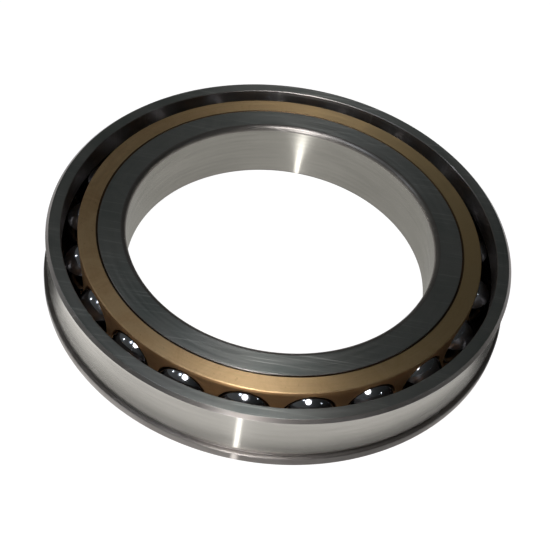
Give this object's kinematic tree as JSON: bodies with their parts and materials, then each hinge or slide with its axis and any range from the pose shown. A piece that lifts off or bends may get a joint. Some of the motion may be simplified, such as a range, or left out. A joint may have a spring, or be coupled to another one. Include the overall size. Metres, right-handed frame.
{
  "type": "angular contact ball bearing",
  "caption": "Flanged single-row angular contact ball bearing with a machined brass cage, open on its low-shoulder side.",
  "frame": {"origin": "centre of the bore in the plane of the back face, which the bearing rests on", "axes": "+Z along the bearing's axis towards the open front face, where the balls show; +X and +Y are arbitrary in the plane of the back face"},
  "size_m": [0.1828, 0.1828, 0.025],
  "materials": {
    "outer_ring_steel": "ground",
    "inner_ring_steel": "ground",
    "cage_brass": "turned",
    "ball_steel": "mirror polished"
  },
  "bodies": {
    "outer_ring": {"outer_ring": "outer_ring_steel"},
    "inner_ring": {"inner_ring": "inner_ring_steel"},
    "cage": {"cage": "cage_brass"},
    "ball_01": {"ball_01": "ball_steel"},
    "ball_02": {"ball_02": "ball_steel"},
    "ball_03": {"ball_03": "ball_steel"},
    "ball_04": {"ball_04": "ball_steel"},
    "ball_05": {"ball_05": "ball_steel"},
    "ball_06": {"ball_06": "ball_steel"},
    "ball_07": {"ball_07": "ball_steel"},
    "ball_08": {"ball_08": "ball_steel"},
    "ball_09": {"ball_09": "ball_steel"},
    "ball_10": {"ball_10": "ball_steel"},
    "ball_11": {"ball_11": "ball_steel"},
    "ball_12": {"ball_12": "ball_steel"},
    "ball_13": {"ball_13": "ball_steel"},
    "ball_14": {"ball_14": "ball_steel"},
    "ball_15": {"ball_15": "ball_steel"},
    "ball_16": {"ball_16": "ball_steel"},
    "ball_17": {"ball_17": "ball_steel"},
    "ball_18": {"ball_18": "ball_steel"},
    "ball_19": {"ball_19": "ball_steel"},
    "ball_20": {"ball_20": "ball_steel"},
    "ball_21": {"ball_21": "ball_steel"}
  },
  "joints": [
    {"name": "inner_ring_spin", "type": "hinge", "parent": "outer_ring", "child": "inner_ring", "pos_m": [0, 0, 0.0125], "axis": [0, 0, 1], "continuous": true},
    {"name": "cage_spin", "type": "hinge", "parent": "outer_ring", "child": "cage", "pos_m": [0, 0, 0.0125], "axis": [0, 0, 1], "continuous": true},
    {"name": "ball_01_roll", "type": "hinge", "parent": "cage", "child": "ball_01", "pos_m": [0.07382, 0.01328, 0.0125], "axis": [0.6326, 0.1138, 0.766], "continuous": true},
    {"name": "ball_02_roll", "type": "hinge", "parent": "cage", "child": "ball_02", "pos_m": [0.06662, 0.03445, 0.0125], "axis": [0.571, 0.2952, 0.766], "continuous": true},
    {"name": "ball_03_roll", "type": "hinge", "parent": "cage", "child": "ball_03", "pos_m": [0.05351, 0.05255, 0.0125], "axis": [0.4586, 0.4504, 0.766], "continuous": true},
    {"name": "ball_04_roll", "type": "hinge", "parent": "cage", "child": "ball_04", "pos_m": [0.03564, 0.06599, 0.0125], "axis": [0.3054, 0.5656, 0.766], "continuous": true},
    {"name": "ball_05_roll", "type": "hinge", "parent": "cage", "child": "ball_05", "pos_m": [0.0146, 0.07356, 0.0125], "axis": [0.1252, 0.6305, 0.766], "continuous": true},
    {"name": "ball_06_roll", "type": "hinge", "parent": "cage", "child": "ball_06", "pos_m": [-0.00773, 0.0746, 0.0125], "axis": [-0.0662, 0.6394, 0.766], "continuous": true},
    {"name": "ball_07_roll", "type": "hinge", "parent": "cage", "child": "ball_07", "pos_m": [-0.02937, 0.06901, 0.0125], "axis": [-0.2517, 0.5914, 0.766], "continuous": true},
    {"name": "ball_08_roll", "type": "hinge", "parent": "cage", "child": "ball_08", "pos_m": [-0.04841, 0.05729, 0.0125], "axis": [-0.4149, 0.491, 0.766], "continuous": true},
    {"name": "ball_09_roll", "type": "hinge", "parent": "cage", "child": "ball_09", "pos_m": [-0.06314, 0.04047, 0.0125], "axis": [-0.5412, 0.3469, 0.766], "continuous": true},
    {"name": "ball_10_roll", "type": "hinge", "parent": "cage", "child": "ball_10", "pos_m": [-0.07227, 0.02006, 0.0125], "axis": [-0.6194, 0.1719, 0.766], "continuous": true},
    {"name": "ball_11_roll", "type": "hinge", "parent": "cage", "child": "ball_11", "pos_m": [-0.07497, -0.00213, 0.0125], "axis": [-0.6425, -0.0183, 0.766], "continuous": true},
    {"name": "ball_12_roll", "type": "hinge", "parent": "cage", "child": "ball_12", "pos_m": [-0.07101, -0.02414, 0.0125], "axis": [-0.6086, -0.2068, 0.766], "continuous": true},
    {"name": "ball_13_roll", "type": "hinge", "parent": "cage", "child": "ball_13", "pos_m": [-0.06074, -0.04399, 0.0125], "axis": [-0.5206, -0.377, 0.766], "continuous": true},
    {"name": "ball_14_roll", "type": "hinge", "parent": "cage", "child": "ball_14", "pos_m": [-0.04508, -0.05994, 0.0125], "axis": [-0.3863, -0.5137, 0.766], "continuous": true},
    {"name": "ball_15_roll", "type": "hinge", "parent": "cage", "child": "ball_15", "pos_m": [-0.02541, -0.07057, 0.0125], "axis": [-0.2177, -0.6048, 0.766], "continuous": true},
    {"name": "ball_16_roll", "type": "hinge", "parent": "cage", "child": "ball_16", "pos_m": [-0.00348, -0.07492, 0.0125], "axis": [-0.0298, -0.6421, 0.766], "continuous": true},
    {"name": "ball_17_roll", "type": "hinge", "parent": "cage", "child": "ball_17", "pos_m": [0.01876, -0.07262, 0.0125], "axis": [0.1608, -0.6224, 0.766], "continuous": true},
    {"name": "ball_18_roll", "type": "hinge", "parent": "cage", "child": "ball_18", "pos_m": [0.03933, -0.06386, 0.0125], "axis": [0.3371, -0.5473, 0.766], "continuous": true},
    {"name": "ball_19_roll", "type": "hinge", "parent": "cage", "child": "ball_19", "pos_m": [0.05641, -0.04943, 0.0125], "axis": [0.4834, -0.4236, 0.766], "continuous": true},
    {"name": "ball_20_roll", "type": "hinge", "parent": "cage", "child": "ball_20", "pos_m": [0.06847, -0.03061, 0.0125], "axis": [0.5868, -0.2623, 0.766], "continuous": true},
    {"name": "ball_21_roll", "type": "hinge", "parent": "cage", "child": "ball_21", "pos_m": [0.07445, -0.00907, 0.0125], "axis": [0.6381, -0.0777, 0.766], "continuous": true}
  ],
  "couplings": [
    {"joint": "cage_spin", "follows": "inner_ring_spin", "ratio": 0.45136},
    {"joint": "ball_01_roll", "follows": "inner_ring_spin", "ratio": -3.8997},
    {"joint": "ball_02_roll", "follows": "inner_ring_spin", "ratio": -3.8997},
    {"joint": "ball_03_roll", "follows": "inner_ring_spin", "ratio": -3.8997},
    {"joint": "ball_04_roll", "follows": "inner_ring_spin", "ratio": -3.8997},
    {"joint": "ball_05_roll", "follows": "inner_ring_spin", "ratio": -3.8997},
    {"joint": "ball_06_roll", "follows": "inner_ring_spin", "ratio": -3.8997},
    {"joint": "ball_07_roll", "follows": "inner_ring_spin", "ratio": -3.8997},
    {"joint": "ball_08_roll", "follows": "inner_ring_spin", "ratio": -3.8997},
    {"joint": "ball_09_roll", "follows": "inner_ring_spin", "ratio": -3.8997},
    {"joint": "ball_10_roll", "follows": "inner_ring_spin", "ratio": -3.8997},
    {"joint": "ball_11_roll", "follows": "inner_ring_spin", "ratio": -3.8997},
    {"joint": "ball_12_roll", "follows": "inner_ring_spin", "ratio": -3.8997},
    {"joint": "ball_13_roll", "follows": "inner_ring_spin", "ratio": -3.8997},
    {"joint": "ball_14_roll", "follows": "inner_ring_spin", "ratio": -3.8997},
    {"joint": "ball_15_roll", "follows": "inner_ring_spin", "ratio": -3.8997},
    {"joint": "ball_16_roll", "follows": "inner_ring_spin", "ratio": -3.8997},
    {"joint": "ball_17_roll", "follows": "inner_ring_spin", "ratio": -3.8997},
    {"joint": "ball_18_roll", "follows": "inner_ring_spin", "ratio": -3.8997},
    {"joint": "ball_19_roll", "follows": "inner_ring_spin", "ratio": -3.8997},
    {"joint": "ball_20_roll", "follows": "inner_ring_spin", "ratio": -3.8997},
    {"joint": "ball_21_roll", "follows": "inner_ring_spin", "ratio": -3.8997}
  ]
}
